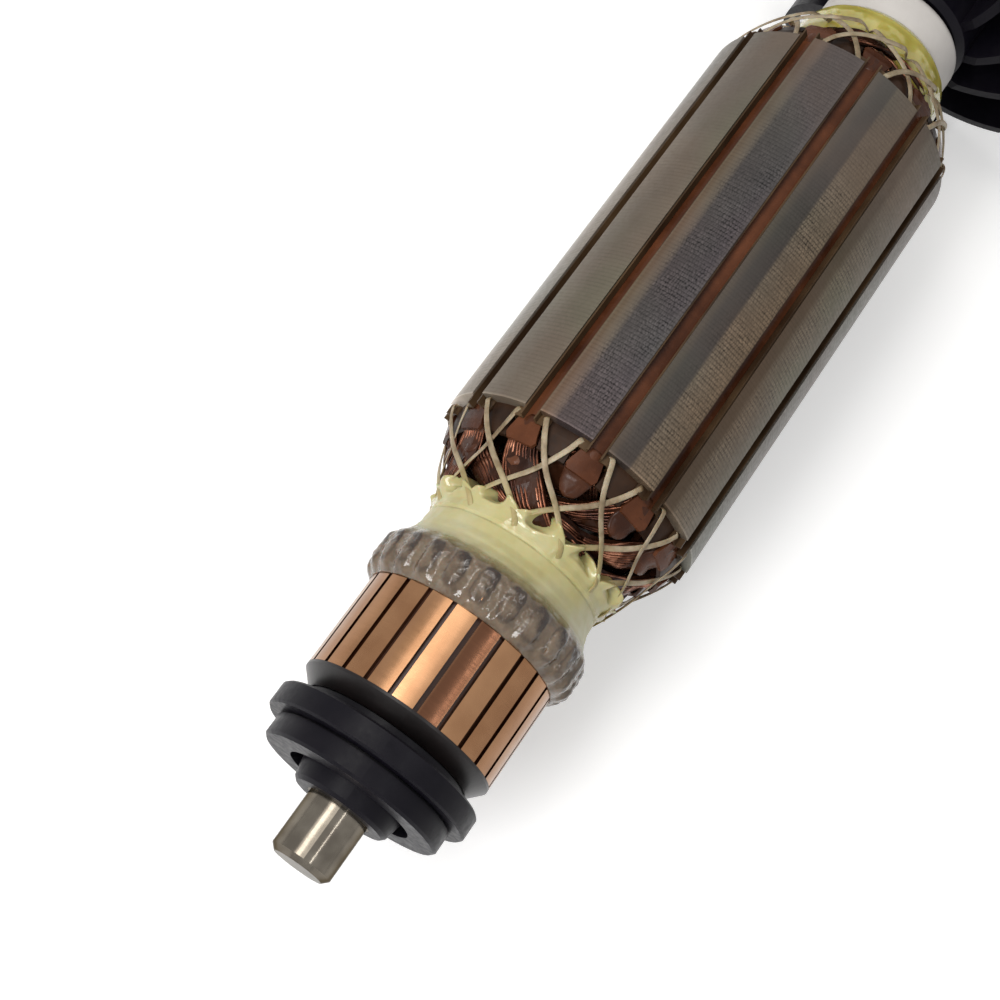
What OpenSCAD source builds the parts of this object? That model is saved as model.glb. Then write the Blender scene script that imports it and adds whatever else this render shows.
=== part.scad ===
// Armature of a universal motor: shaft, laminated core, lap winding, moulded
// commutator, dust seal and fan, in millimetres.
// The shaft lies along +X with the commutator end at the low side. The origin
// is the middle of the commutator-end bearing journal.

/* [Shaft] */
// Diameter of the commutator-end bearing journal
journal_d = 9; // [8:0.5:9]
// Length of the commutator-end bearing journal
journal_len = 8; // [6:0.5:10]
// Diameter of the shaft inside the dust seal
seal_seat_d = 9.6; // [9.2:0.1:10.2]
// Diameter of the shaft inside the core and the fan
shaft_d = 13; // [12.6:0.1:13.4]
// Diameter of the drive-end bearing journal
drive_journal_d = 12; // [11:0.25:12.5]
// Length of the drive-end bearing journal
drive_journal_len = 12; // [8:1:16]
// Diameter of the plain drive end that carries a pinion
pinion_seat_d = 10; // [8:0.5:11]
// Length of the plain drive end
pinion_seat_len = 13; // [8:1:20]
// Chamfer on both shaft ends
shaft_chamfer = 0.8; // [0.4:0.1:1.2]

/* [Dust seal] */
// Diameter of the hub beside the bearing
seal_hub_d = 14.4; // [13:0.2:15.4]
// Diameter of the hub at its root in the recess
seal_hub_root_d = 16; // [15.6:0.2:17]
// Length of the hub in front of the small rim
seal_hub_len = 2.3; // [1.6:0.1:4]
// Diameter of the small rim
small_rim_d = 27; // [25.5:0.5:28.5]
// Width of the small rim
small_rim_w = 3.1; // [2.6:0.1:4]
// Outer diameter of the ring-shaped recess in the front face
face_recess_d = 18.6; // [17.6:0.2:22]
// Depth of that recess
face_recess_depth = 2; // [1:0.2:2.4]
// Width of the groove between the rims
rim_groove_w = 0.4; // [0.3:0.1:0.8]
// Diameter of the large rim
large_rim_d = 30.9; // [29.5:0.2:32]
// Width of the large rim
large_rim_w = 3.4; // [2.4:0.2:4]
// Diameter of the neck that meets the commutator
seal_neck_d = 24.4; // [20:0.4:26]
// Width of that neck
seal_neck_w = 1.4; // [0.6:0.2:2]

/* [Commutator] */
// Diameter of the copper brush track
track_d = 29; // [28.4:0.2:29.6]
// Length of the brush track
track_len = 14.4; // [12:0.4:18]
// Radial height of a copper bar
bar_height = 3.8; // [3:0.2:4.2]
// Width of the gap between two bars
bar_gap = 0.7; // [0.5:0.05:0.9]
// Depth of the moulding below the track in each gap
undercut = 0.7; // [0.4:0.1:1]
// Width of the moulded ring in front of the bars
end_ring_w = 2.6; // [1.8:0.2:3.4]
// Diameter of that ring at its front edge
end_ring_d = 25; // [24:0.2:28]
// Width of the ring's straight part beside the bars
end_ring_land = 0.4; // [0.2:0.1:1]
// Length of the riser behind the brush track
riser_len = 6.8; // [6.2:0.2:8]
// Width of a wire hook
hook_w = 1.6; // [1:0.1:1.8]
// Length of a wire hook
hook_len = 4.8; // [3.6:0.2:5.4]
// Height of a wire hook above the bar
hook_height = 1.6; // [1.5:0.1:2.2]
// Diameter of the wire eye in a hook
hook_eye_d = 0.9; // [0.6:0.1:1]
// Turn of the commutator against the slots, in degrees
bar_turn = 1.7; // [0:0.1:7.5]

/* [Core] */
// Outer diameter of the core
core_d = 40.4; // [40:0.1:41]
// Thickness of one lamination
lamination_t = 0.65; // [0.5:0.05:0.75]
// Number of laminations
laminations = 111; // [90:1:130]
// Width of a tooth
tooth_w = 4.2; // [4:0.1:4.5]
// Radial thickness of a tooth tip
tooth_tip_t = 1.15; // [0.9:0.05:1.4]
// Width of a slot's mouth
slot_mouth_w = 2.45; // [2.1:0.05:2.8]
// Radial depth of a slot, from the core's surface
slot_depth = 8.5; // [8.2:0.1:8.6]

/* [Insulation] */
// Outer diameter of the shaft's insulating sleeve
sleeve_d = 17; // [16:0.2:17.4]
// Outer diameter of the sleeve's collar behind the winding
collar_d = 23; // [21:0.2:24]
// Length of the collar
collar_len = 10.6; // [8:0.2:14]
// Rounding of the collar's rear edge
collar_round = 1.4; // [0.6:0.2:2]
// Thickness of the fibre end plates
end_plate_t = 1.4; // [1:0.1:1.6]
// Diameter of the fibre end plates
end_plate_d = 37.2; // [36:0.2:37.4]
// Length of the collars on the end plates, which carry the lacing
end_collar_len = 4; // [3:0.2:4.6]
// Radial thickness of those collars
end_collar_t = 1; // [0.8:0.1:1.2]
// Thickness of the slot liner paper
liner_t = 0.25; // [0.15:0.05:0.3]
// Thickness of a slot wedge
wedge_t = 0.5; // [0.4:0.05:0.6]
// Length of a slot wedge beyond each end of the core
wedge_overhang = 4.3; // [3:0.1:5]
// Width of a wedge's tongue where it leaves the core
tongue_root_w = 3.6; // [3:0.1:4]
// Width of the tongue at its free end
tongue_end_w = 4.8; // [4.2:0.1:4.8]
// Droop of the tongue's free end towards the winding
tongue_droop = 0.7; // [0.4:0.1:1]

/* [Winding] */
// Height of the front end winding over the core
front_height = 12.4; // [11.6:0.1:13]
// Height of the rear end winding over the core
rear_height = 11.2; // [10.6:0.1:12]
// Distance from the sleeve to the inner edge of the winding's crown
crown_inset = 2.4; // [2.2:0.1:2.6]
// Depth of the winding's outer layer below the core's surface
winding_inset = 3.45; // [3.4:0.05:3.8]

/* [Resin] */
// Length of the resin neck from the risers to the winding
neck_len = 7.3; // [5:0.1:9]
// Diameter of the neck at its waist
neck_waist_d = 27.2; // [26.4:0.2:28]
// Height of the resin over the risers
riser_resin_h = 1.5; // [1.2:0.1:1.8]
// Thickness of the resin ring over the collar, behind the rear winding
rear_ring_t = 1.5; // [1.1:0.1:2]
// Length of that ring
rear_ring_len = 5; // [3:0.2:6]

/* [Lacing] */
// Diameter of the lacing cord
cord_d = 0.64; // [0.5:0.02:0.64]

/* [Fan] */
// Outer diameter of the fan
fan_d = 56; // [50:1:64]
// Diameter of the fan's hub
fan_hub_d = 23; // [20:0.5:26]
// Axial length of the fan
fan_len = 15; // [12:0.5:20]
// Thickness of the back plate
fan_plate_t = 2; // [1.4:0.2:3]
// Thickness of a blade
blade_t = 1.6; // [1.2:0.1:2.4]
// Number of blades
blades = 11; // [7:1:15]
// Distance from the sleeve's collar to the fan
fan_gap = 0.8; // [0.4:0.2:2]

/* [Hidden] */
$fn = 96;
fit = 0.02;
slots = 12;
bars = 24;
layers = slots / 2;
coil_span = layers - 1;
slot_pitch = 360 / slots;
bar_pitch = 360 / bars;

// Stations along the shaft
seal_x = journal_len / 2;
small_rim_x = seal_x + seal_hub_len;
groove_x = small_rim_x + small_rim_w;
large_rim_x = groove_x + rim_groove_w;
seal_neck_x = large_rim_x + large_rim_w;
end_ring_x = seal_neck_x + seal_neck_w;
bar_x = end_ring_x + end_ring_w;
riser_x = bar_x + track_len;
hook_x = riser_x + 1.2;
comm_end_x = riser_x + riser_len;
winding_x = comm_end_x + neck_len;
core_x = winding_x + front_height;
core_len = laminations * lamination_t;
core_end_x = core_x + core_len;
rear_top_x = core_end_x + rear_height;
collar_x = rear_top_x + 1.2;
collar_end_x = collar_x + collar_len;
rear_ring_d = collar_d + 2 * rear_ring_t;
fan_x = collar_end_x + fan_gap;
fan_end_x = fan_x + fan_len;
drive_journal_x = fan_end_x + 1;
pinion_x = drive_journal_x + drive_journal_len;
shaft_end_x = pinion_x + pinion_seat_len;

// Radii
core_r = core_d / 2;
sleeve_r = sleeve_d / 2;
track_r = track_d / 2;
bar_root_r = track_r - bar_height;

// Slot section: straight walls beside parallel teeth, over a round floor
half_pitch = slot_pitch / 2;
slot_top = core_r - tooth_tip_t;
slot_floor = core_r - slot_depth;
floor_y = (slot_floor - tooth_w / 2) / (1 - sin(half_pitch));
floor_r = floor_y * sin(half_pitch) - tooth_w / 2;
function wall_x(y, inset) = (y * sin(half_pitch) - tooth_w / 2 - inset) / cos(half_pitch);

// Slot filling, from the mouth inwards: liner, wedge, outer and inner coil side
slack = 0.05;
wedge_r = slot_top - liner_t - slack;
coil_top = wedge_r - wedge_t - slack;
coil_floor = slot_floor + liner_t + 4 * slack;
coil_mid = coil_floor + 0.52 * (coil_top - coil_floor);
side_inset = liner_t + 3 * slack;
side_gap = 0.15;
end_collar_droop = 0.9;
function side_r(outer) = outer ? (coil_mid + coil_top + side_gap) / 2 : (coil_mid + coil_floor - side_gap) / 2;
function side_half(outer) = (outer ? coil_top - coil_mid : coil_mid - coil_floor) / 2 - side_gap / 2;
function side_width(r) = wall_x(max(r, floor_y), side_inset);

// End turns: the layers are nested shells, from the end plate to the crown
turn_start = end_plate_t + 0.1;
crown_centre_r = sleeve_r + crown_inset;
layer_fill = 0.42;
half_span = coil_span * slot_pitch / 2;
turn_steps = 10;
ring_shape = [[1, 0.5], [0.5, 1], [-0.5, 1], [-1, 0.5], [-1, -0.5], [-0.5, -1], [0.5, -1], [1, -0.5]];
function mix(a, b, t) = a + (b - a) * t;
function smooth(t) = let (u = max(0, min(1, t))) u * u * (3 - 2 * u);
function unit(v) = v / norm(v);
function shell_width(f) = mix(slot_floor + 0.8, core_r - winding_inset, f / layers) - crown_centre_r;
function shell_height(f, height) = mix(0.9, height - turn_start, f / layers);
function shell_arc(f, height) = 90 * PI / 180 * norm([shell_width(f), shell_height(f, height)]) / sqrt(2);
function ribbon_half(layer, s) = mix(2.4, 1.2 + 0.22 * layer, smooth(1.6 * s));
function is_outer(layer, side) = side > 0 ? layer == layers - 1 : layer > 0;

// Radius and height at the way u along shell f: u = 0 at the core, u = 1 where the crown's flat begins
function shell_point(f, u, height) = u > 1
    ? [crown_centre_r - (u - 1) * shell_arc(f, height), turn_start + shell_height(f, height)]
    : [
        crown_centre_r + shell_width(f) * cos(90 * u),
        turn_start + shell_height(f, height) * sin(90 * u)
    ];

// Middle line of a half end turn as [way along the shell, turn from the slot], from the slot (s = 0) to mid-span
function turn_line(layer, height, s) =
    let (middle_r = sleeve_r + 0.4 + ribbon_half(layer, 1))
    let (last = 1 + (crown_centre_r - middle_r) / shell_arc(layer + 0.5, height))
    [last * min(1, s / 0.66), half_span * pow(s, 2.3 - 0.13 * layer)];

// One corner of the bundle, as [radius, turn, height]: q is its place in the section
function turn_corner(layer, outer, height, s, q) =
    let (f = layer + 0.5 + layer_fill * q[0])
    let (arc = shell_arc(layer + 0.5, height), line = turn_line(layer, height, s))
    let (step = turn_line(layer, height, s + 0.01) - line)
    let (middle = shell_point(layer + 0.5, line[0], height))
    let (run = unit([step[0] * arc, step[1] * PI / 180 * middle[0]]))
    let (half = ribbon_half(layer, s) * q[1])
    let (u = max(0, line[0] - half * run[1] / arc), p = shell_point(f, u, height))
    let (slot_r = side_r(outer) + q[0] * side_half(outer))
    let (slot_turn = atan(q[1] * side_width(slot_r) / slot_r))
    [
        mix(slot_r, p[0], smooth(u / mix(0.8, 0.34, layer / (layers - 1)))),
        mix(slot_turn, line[1] + half * run[0] / p[0] * 180 / PI, smooth(s / 0.36)),
        p[1]
    ];
function place(slot, side, face, p) =
    let (a = slot * slot_pitch + side * p[1])
    [p[0] * cos(a), p[0] * sin(a), face > 0 ? core_end_x + p[2] : core_x - p[2]];
function turn_ring(layer, slot, side, face, travel, s) =
    let (height = face > 0 ? rear_height : front_height, flip = side * face * travel)
    [for (q = ring_shape)
        place(slot, side, face, turn_corner(layer, is_outer(layer, side), height, s, [q[0], flip * q[1]]))];
function half_turn(layer, slot, side, face, travel) =
    [for (i = [0:turn_steps])
        let (k = travel > 0 ? i : turn_steps - i)
        turn_ring(layer, slot, side, face, travel, k / turn_steps)];
function tail(v) = [for (i = [1:len(v) - 1]) v[i]];

// A whole coil: front turn from slot a to slot b, and back over the rear
function coil_rings(k) =
    let (layer = k % layers, a = k, b = k + coil_span)
    concat(
        half_turn(layer, a, 1, -1, 1),
        tail(half_turn(layer, b, -1, -1, -1)),
        half_turn(layer, b, -1, 1, 1),
        tail(half_turn(layer, a, 1, 1, -1))
    );

// Lacing: route of one leg as [angle from the slot, height over the core], for the front winding
lace_route = [[9.5, 0.5], [9.8, 1.8], [11.5, 3.4], [15, 5.1], [20, 6.7], [30, 8.9], [40, 11.1], [45, 12.1]];
crown_drop = 5.7;
function dome_r(h, height) = core_r - 0.1 - crown_drop * pow(max(0, h) / (height + 0.5), 1.75);

module lie() {
    rotate([180, -90, 0]) children();
}

module revolve(outline) {
    rotate_extrude() polygon(outline);
}

// Tube of sides * len(path) facets, closed at both ends
module tubes(paths, r, sides) {
    rings = [for (path = paths) tube_points(path, r, sides)];
    n = len(paths[0]);
    per = n * sides;
    points = [for (tube = rings) for (p = tube) p];
    faces = [for (t = [0:len(paths) - 1]) each concat(
        [for (i = [0:n - 2], j = [0:sides - 1])
            let (o = t * per + i * sides, k = (j + 1) % sides)
            [o + j, o + k, o + sides + k, o + sides + j]],
        [[for (j = [sides - 1:-1:0]) t * per + j]],
        [[for (j = [0:sides - 1]) t * per + (n - 1) * sides + j]]
    )];
    polyhedron(points, faces);
}

function tube_points(path, r, sides) =
    [for (i = [0:len(path) - 1])
        let (t = unit(path[min(i + 1, len(path) - 1)] - path[max(i - 1, 0)]))
        let (out = unit([path[i][0], path[i][1], 0]))
        let (u = unit(cross(t, out)), v = cross(u, t))
        for (j = [0:sides - 1]) path[i] + r * (u * cos(360 * j / sides) + v * sin(360 * j / sides))];

module shaft() {
    color("silver") lie() revolve([
        [0, -journal_len / 2 - shaft_chamfer],
        [journal_d / 2 - shaft_chamfer, -journal_len / 2 - shaft_chamfer],
        [journal_d / 2, -journal_len / 2],
        [journal_d / 2, seal_x],
        [seal_seat_d / 2, seal_x],
        [seal_seat_d / 2, end_ring_x],
        [shaft_d / 2, end_ring_x],
        [shaft_d / 2, drive_journal_x],
        [drive_journal_d / 2, drive_journal_x],
        [drive_journal_d / 2, pinion_x],
        [pinion_seat_d / 2, pinion_x],
        [pinion_seat_d / 2, shaft_end_x - shaft_chamfer],
        [pinion_seat_d / 2 - shaft_chamfer, shaft_end_x],
        [0, shaft_end_x]
    ]);
}

module dust_seal() {
    color("dimgray") lie() revolve([
        [seal_seat_d / 2 + fit, seal_x],
        [seal_hub_d / 2 - 0.5, seal_x],
        [seal_hub_d / 2, seal_x + 0.5],
        [seal_hub_root_d / 2, small_rim_x + face_recess_depth],
        [face_recess_d / 2, small_rim_x + face_recess_depth],
        [face_recess_d / 2, small_rim_x],
        [small_rim_d / 2 - 0.4, small_rim_x],
        [small_rim_d / 2, small_rim_x + 0.4],
        [small_rim_d / 2, groove_x],
        [small_rim_d / 2 - 0.8, groove_x],
        [small_rim_d / 2 - 0.8, large_rim_x],
        [large_rim_d / 2 - 0.3, large_rim_x],
        [large_rim_d / 2, large_rim_x + 0.3],
        [large_rim_d / 2, seal_neck_x - 0.3],
        [large_rim_d / 2 - 0.3, seal_neck_x],
        [seal_neck_d / 2, seal_neck_x],
        [seal_neck_d / 2, end_ring_x - fit],
        [seal_seat_d / 2 + fit, end_ring_x - fit]
    ]);
}

// Cross-section of a bar, waisted so that the moulding holds it
module bar_section(grow) {
    gap = bar_gap / 2 - grow;
    waist = 0.3;
    top_r = track_r + 1;
    function edge(r, cut) = (r * sin(bar_pitch / 2) - gap) / cos(bar_pitch / 2) - cut;
    r0 = bar_root_r;
    outline = [
        [r0 - grow, 0], [r0 + 0.9 + grow, 0], [r0 + 1.1 + grow, waist],
        [r0 + 1.6 - grow, waist], [r0 + 1.8 - grow, 0], [top_r, 0]
    ];
    polygon(concat(
        [for (p = outline) [p[0], edge(p[0], p[1])]],
        [for (i = [len(outline) - 1:-1:0]) [outline[i][0], -edge(outline[i][0], outline[i][1])]]
    ));
}

module hook() {
    top_r = track_r + hook_height;
    bend = 0.9;
    difference() {
        union() {
            square_from([track_r - 0.5, hook_x], [top_r - bend, hook_x + hook_len]);
            square_from([track_r - 0.5, hook_x + bend], [top_r, hook_x + hook_len - bend]);
            translate([top_r - bend, hook_x + bend]) circle(r = bend);
            translate([top_r - bend, hook_x + hook_len - bend]) circle(r = bend);
        }
        translate([track_r + hook_eye_d / 2 + 0.15, hook_x + hook_len * 0.6]) circle(d = hook_eye_d);
    }
}

module square_from(a, b) {
    translate(a) square(b - a);
}

module commutator_bar(i) {
    color("peru") lie() rotate(bar_turn + (i - 0.5) * bar_pitch) {
        translate([0, 0, bar_x]) linear_extrude(comm_end_x - bar_x) intersection() {
            circle(r = track_r);
            bar_section(0);
        }
        rotate([90, 0, 0]) linear_extrude(hook_w, center = true) hook();
    }
}

module gap_fins(r, x0, x1) {
    translate([0, 0, x0]) linear_extrude(x1 - x0) difference() {
        circle(r = r);
        circle(r = shaft_d / 2 + fit);
        for (i = [1:bars]) rotate(bar_turn + (i - 0.5) * bar_pitch) bar_section(fit);
    }
}

module commutator_body() {
    color("saddlebrown") lie() {
        revolve([
            [shaft_d / 2 + fit, end_ring_x + fit],
            [end_ring_d / 2, end_ring_x + fit],
            [track_r, bar_x - end_ring_land],
            [track_r, bar_x - fit],
            [shaft_d / 2 + fit, bar_x - fit]
        ]);
        gap_fins(track_r - undercut, bar_x - fit, riser_x);
        gap_fins(track_r, riser_x, comm_end_x);
    }
}

// Outline of the resin over the risers and the neck, from the track to the winding
module neck_resin() {
    riser_r = track_r + riser_resin_h;
    waist_r = neck_waist_d / 2;
    span = winding_x - comm_end_x;
    color("beige") lie() difference() {
        revolve([
            [track_r + fit, riser_x],
            [track_r + 0.3, riser_x],
            [mix(track_r, riser_r, 0.6), riser_x + 0.2 * riser_len],
            [mix(track_r, riser_r, 0.9), riser_x + 0.4 * riser_len],
            [riser_r, riser_x + 0.6 * riser_len],
            [riser_r, riser_x + 0.75 * riser_len],
            [mix(waist_r, riser_r, 0.94), riser_x + 0.87 * riser_len],
            [mix(waist_r, riser_r, 0.7), comm_end_x],
            [mix(waist_r, riser_r, 0.45), comm_end_x + 0.12 * span],
            [mix(waist_r, riser_r, 0.22), comm_end_x + 0.3 * span],
            [mix(waist_r, riser_r, 0.06), comm_end_x + 0.5 * span],
            [waist_r, comm_end_x + 0.75 * span],
            [waist_r + 0.2, winding_x - fit],
            [sleeve_r + fit, winding_x - fit],
            [sleeve_r + fit, comm_end_x + fit],
            [track_r + fit, comm_end_x + fit]
        ]);
        for (i = [1:bars]) rotate(bar_turn + (i - 0.5) * bar_pitch)
            translate([track_r - 1, -hook_w / 2 - fit, hook_x - fit])
                cube([riser_r, hook_w + 2 * fit, hook_len + 2 * fit]);
    }
}

module shaft_sleeve() {
    end_r = collar_d / 2 - collar_round;
    color("white") lie() {
        revolve([
            [shaft_d / 2 + fit, comm_end_x + 2 * fit],
            [sleeve_r, comm_end_x + 2 * fit],
            [sleeve_r, collar_x],
            [collar_d / 2, collar_x],
            [collar_d / 2, collar_end_x - collar_round],
            [end_r, collar_end_x - collar_round],
            [end_r, collar_end_x],
            [shaft_d / 2 + fit, collar_end_x]
        ]);
        translate([0, 0, collar_end_x - collar_round]) rotate_extrude() intersection() {
            translate([end_r, 0]) circle(r = collar_round);
            translate([end_r - 0.1, -0.1]) square(collar_round + 0.2);
        }
    }
}

// Half-open slot shape, drawn inset from its walls
module slot_section(inset) {
    top = slot_top - inset;
    shoulder = slot_top - 0.5;
    translate([0, floor_y]) circle(r = floor_r - inset);
    polygon([
        [-wall_x(floor_y, inset), floor_y],
        [wall_x(floor_y, inset), floor_y],
        [wall_x(shoulder, inset), shoulder],
        [wall_x(shoulder, inset) - 0.5, top],
        [0.5 - wall_x(shoulder, inset), top],
        [-wall_x(shoulder, inset), shoulder]
    ]);
}

module mouth_section(inset) {
    square_from([inset - slot_mouth_w / 2, slot_top - 1], [slot_mouth_w / 2 - inset, core_r + 1]);
}

module each_slot() {
    for (i = [0:slots - 1]) rotate(i * slot_pitch - 90) children();
}

module lamination_section() {
    difference() {
        circle(r = core_r);
        circle(r = sleeve_r + fit);
        each_slot() {
            slot_section(0);
            mouth_section(0);
        }
    }
}

module core_stack() {
    color("lightslategray") lie() translate([0, 0, core_x]) linear_extrude(core_len) lamination_section();
}

// Flat plate with a sloping collar over each tooth, drawn with its flat face at z = 0
module end_plate() {
    plate_r = end_plate_d / 2;
    collar_end_r = plate_r - end_collar_droop;
    color("sienna") intersection() {
        revolve([
            [0, 0],
            [plate_r, 0],
            [plate_r - 0.1 * end_collar_droop, 0.3 * end_collar_len],
            [plate_r - 0.4 * end_collar_droop, 0.65 * end_collar_len],
            [collar_end_r, end_collar_len],
            [collar_end_r - 0.6 * end_collar_t, end_collar_len],
            [plate_r - end_collar_t, end_plate_t],
            [0, end_plate_t]
        ]);
        linear_extrude(end_collar_len + 1) lamination_section();
    }
}

module front_end_plate() {
    lie() translate([0, 0, core_x]) mirror([0, 0, 1]) end_plate();
}

module rear_end_plate() {
    lie() translate([0, 0, core_end_x]) end_plate();
}

// Paper round each slot's wall, with its edges turned up in the mouth
module slot_liners() {
    x0 = core_x - end_plate_t;
    color("navajowhite") lie() translate([0, 0, x0]) linear_extrude(core_len + 2 * end_plate_t) {
        each_slot() {
            intersection() {
                difference() {
                    slot_section(fit);
                    slot_section(fit + liner_t);
                    mouth_section(fit + liner_t);
                }
                circle(d = end_plate_d + 3);
            }
            for (side = [-1, 1]) scale_x(side)
                square_from(
                    [slot_mouth_w / 2 - fit - liner_t, slot_top - fit - liner_t / 2],
                    [slot_mouth_w / 2 - fit, core_r - 0.3]
                );
        }
    }
}

module scale_x(side) {
    mirror([side < 0 ? 1 : 0, 0]) children();
}

// Fibre strip in a slot's mouth, with a flared and drooping tongue at each end
module slot_wedge(i) {
    half_w = wall_x(wedge_r - wedge_t, liner_t + 2 * fit + slack);
    out = [
        [-wedge_overhang, tongue_droop],
        [-0.7 * wedge_overhang, 0.35 * tongue_droop],
        [-end_plate_t, 0]
    ];
    back = [for (i = [len(out) - 1:-1:0]) out[i]];
    top = concat(
        [for (p = out) [wedge_r - p[1], core_x + p[0]]],
        [for (p = back) [wedge_r - p[1], core_end_x - p[0]]]
    );
    bottom = [for (i = [len(top) - 1:-1:0]) [top[i][0] - wedge_t, top[i][1]]];
    side = [
        [tongue_end_w / 2 - 0.4, core_x - wedge_overhang],
        [tongue_end_w / 2, core_x - wedge_overhang + 0.6],
        [tongue_root_w / 2, core_x - end_plate_t],
        [tongue_root_w / 2, core_x],
        [half_w, core_x + 1],
        [half_w, core_end_x - 1],
        [tongue_root_w / 2, core_end_x],
        [tongue_root_w / 2, core_end_x + end_plate_t],
        [tongue_end_w / 2, core_end_x + wedge_overhang - 0.6],
        [tongue_end_w / 2 - 0.4, core_end_x + wedge_overhang]
    ];
    color("brown") lie() rotate((i - 1) * slot_pitch - 90) intersection() {
        revolve(concat(top, bottom));
        rotate([90, 0, 180]) linear_extrude(core_r)
            polygon(concat(side, [for (j = [len(side) - 1:-1:0]) [-side[j][0], side[j][1]]]));
    }
}

module coil(i) {
    rings = coil_rings(i - 1);
    n = len(rings);
    sides = len(ring_shape);
    color("chocolate") lie() polyhedron(
        [for (ring = rings) for (p = ring) p],
        [for (r = [0:n - 1], j = [0:sides - 1])
            let (next = (r + 1) % n, k = (j + 1) % sides)
            [r * sides + j, next * sides + j, next * sides + k, r * sides + k]]
    );
}

function lace_path(slot, side, face) =
    let (height = face > 0 ? rear_height : front_height, ratio = height / 12.4)
    [for (p = lace_route)
        let (h = p[1] * ratio, a = slot * slot_pitch + side * p[0])
        let (r = dome_r(h, height) - cord_d / 2 - (side > 0 ? 0 : cord_d + fit))
        [r * cos(a), r * sin(a), face > 0 ? core_end_x + h : core_x - h]];

module lacing() {
    paths = [for (face = [-1, 1], side = [-1, 1], i = [0:slots - 1]) lace_path(i, side, face)];
    color("cornsilk") lie() tubes(paths, cord_d / 2, 6);
}

module rear_resin() {
    r = rear_ring_d / 2;
    end_x = rear_top_x + rear_ring_len;
    color("khaki") lie() revolve([
        [sleeve_r + fit, rear_top_x + fit],
        [r - 0.3, rear_top_x + fit],
        [r, rear_top_x + 0.6],
        [r - 0.1, rear_top_x + 0.5 * rear_ring_len],
        [mix(collar_d / 2, r, 0.6), end_x - 0.8],
        [collar_d / 2 + 0.3, end_x],
        [collar_d / 2 + fit, end_x],
        [collar_d / 2 + fit, collar_x - fit],
        [sleeve_r + fit, collar_x - fit]
    ]);
}

module fan() {
    hub_r = fan_hub_d / 2;
    fan_r = fan_d / 2;
    plate_x = fan_end_x - fan_plate_t;
    blade_r = fan_r * 0.7;
    color("darkslategray") lie() difference() {
        union() {
            revolve([
                [0, fan_x],
                [hub_r - 1, fan_x],
                [hub_r, fan_x + 1],
                [hub_r, plate_x - 2],
                [hub_r + 3, plate_x],
                [fan_r, plate_x],
                [fan_r, fan_end_x],
                [0, fan_end_x]
            ]);
            intersection() {
                revolve([
                    [hub_r - 1, fan_x + 1.5],
                    [hub_r + 2, fan_x + 1.5],
                    [fan_r - 0.5, fan_x + 0.45 * fan_len],
                    [fan_r - 0.5, plate_x + 0.5],
                    [hub_r - 1, plate_x + 0.5]
                ]);
                translate([0, 0, fan_x]) linear_extrude(fan_len) for (i = [1:blades])
                    rotate(i * 360 / blades) intersection() {
                        translate([0, -blade_r]) difference() {
                            circle(r = blade_r);
                            circle(r = blade_r - blade_t);
                        }
                        square_from([hub_r - 1.5, -fan_r], [fan_r, fan_r]);
                    }
            }
        }
        translate([0, 0, fan_x - 1]) cylinder(h = fan_len + 2, d = shaft_d + 2 * fit);
    }
}

function numbered(name, i) = str(name, i < 10 ? "_0" : "_", i);

shaft();
dust_seal();
commutator_body();
neck_resin();
shaft_sleeve();
core_stack();
front_end_plate();
rear_end_plate();
slot_liners();
lacing();
rear_resin();
fan();
for (i = [1:bars]) commutator_bar(i);
for (i = [1:slots]) slot_wedge(i);
for (i = [1:slots]) coil(i);
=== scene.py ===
import math

import bpy
from mathutils import Matrix, Vector, noise


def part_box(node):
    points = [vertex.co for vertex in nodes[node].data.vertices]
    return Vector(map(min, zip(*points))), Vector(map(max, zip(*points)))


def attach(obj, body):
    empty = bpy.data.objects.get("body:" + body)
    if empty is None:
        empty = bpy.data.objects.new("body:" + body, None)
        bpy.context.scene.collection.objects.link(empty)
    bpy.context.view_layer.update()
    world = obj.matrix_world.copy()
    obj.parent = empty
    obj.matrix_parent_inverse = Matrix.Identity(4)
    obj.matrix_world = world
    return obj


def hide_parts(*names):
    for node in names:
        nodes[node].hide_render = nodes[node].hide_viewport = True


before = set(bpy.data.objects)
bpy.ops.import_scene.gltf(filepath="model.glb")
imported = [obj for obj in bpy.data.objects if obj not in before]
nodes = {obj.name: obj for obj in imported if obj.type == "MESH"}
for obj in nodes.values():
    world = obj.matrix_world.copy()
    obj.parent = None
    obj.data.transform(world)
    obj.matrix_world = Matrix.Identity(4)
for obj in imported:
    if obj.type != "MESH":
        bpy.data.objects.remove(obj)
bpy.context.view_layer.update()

MM = 0.001


def mix(a, b, t):
    return a + (b - a) * t


def smooth(t):
    u = max(0.0, min(1.0, t))
    return u * u * (3 - 2 * u)


def at(x, r, angle):
    """Point at station x and radius r in millimetres, at an angle from +Z towards -Y, in degrees."""
    a = math.radians(angle)
    return Vector((x * MM, -r * math.sin(a) * MM, r * math.cos(a) * MM))


def box_mm(name):
    low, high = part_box(name)
    return [v / MM for v in low], [v / MM for v in high]


def numbered(name, count):
    return [f"{name}_{i:02d}" for i in range(1, count + 1)]


# Stations and radii in millimetres, read from the solids
core_low, core_high = box_mm("core_stack")
neck_low, neck_high = box_mm("neck_resin")
ring_low, ring_high = box_mm("rear_resin")
moulding_high = box_mm("commutator_body")[1]
CORE_X0, CORE_X1, CORE_R = core_low[0], core_high[0], core_high[2]
RISER_X0, NECK_X1, RISER_R = neck_low[0], neck_high[0], neck_high[2]
RING_X0, RING_X1, RING_R = ring_low[0], ring_high[0], ring_high[2]
COMM_X1, TRACK_R = moulding_high[0], moulding_high[2]
BARS_X0 = box_mm("commutator_bar_01")[0][0]
FAN_R = box_mm("fan")[1][2]
FRONT_H, REAR_H = CORE_X0 - NECK_X1, RING_X0 - CORE_X1

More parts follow.
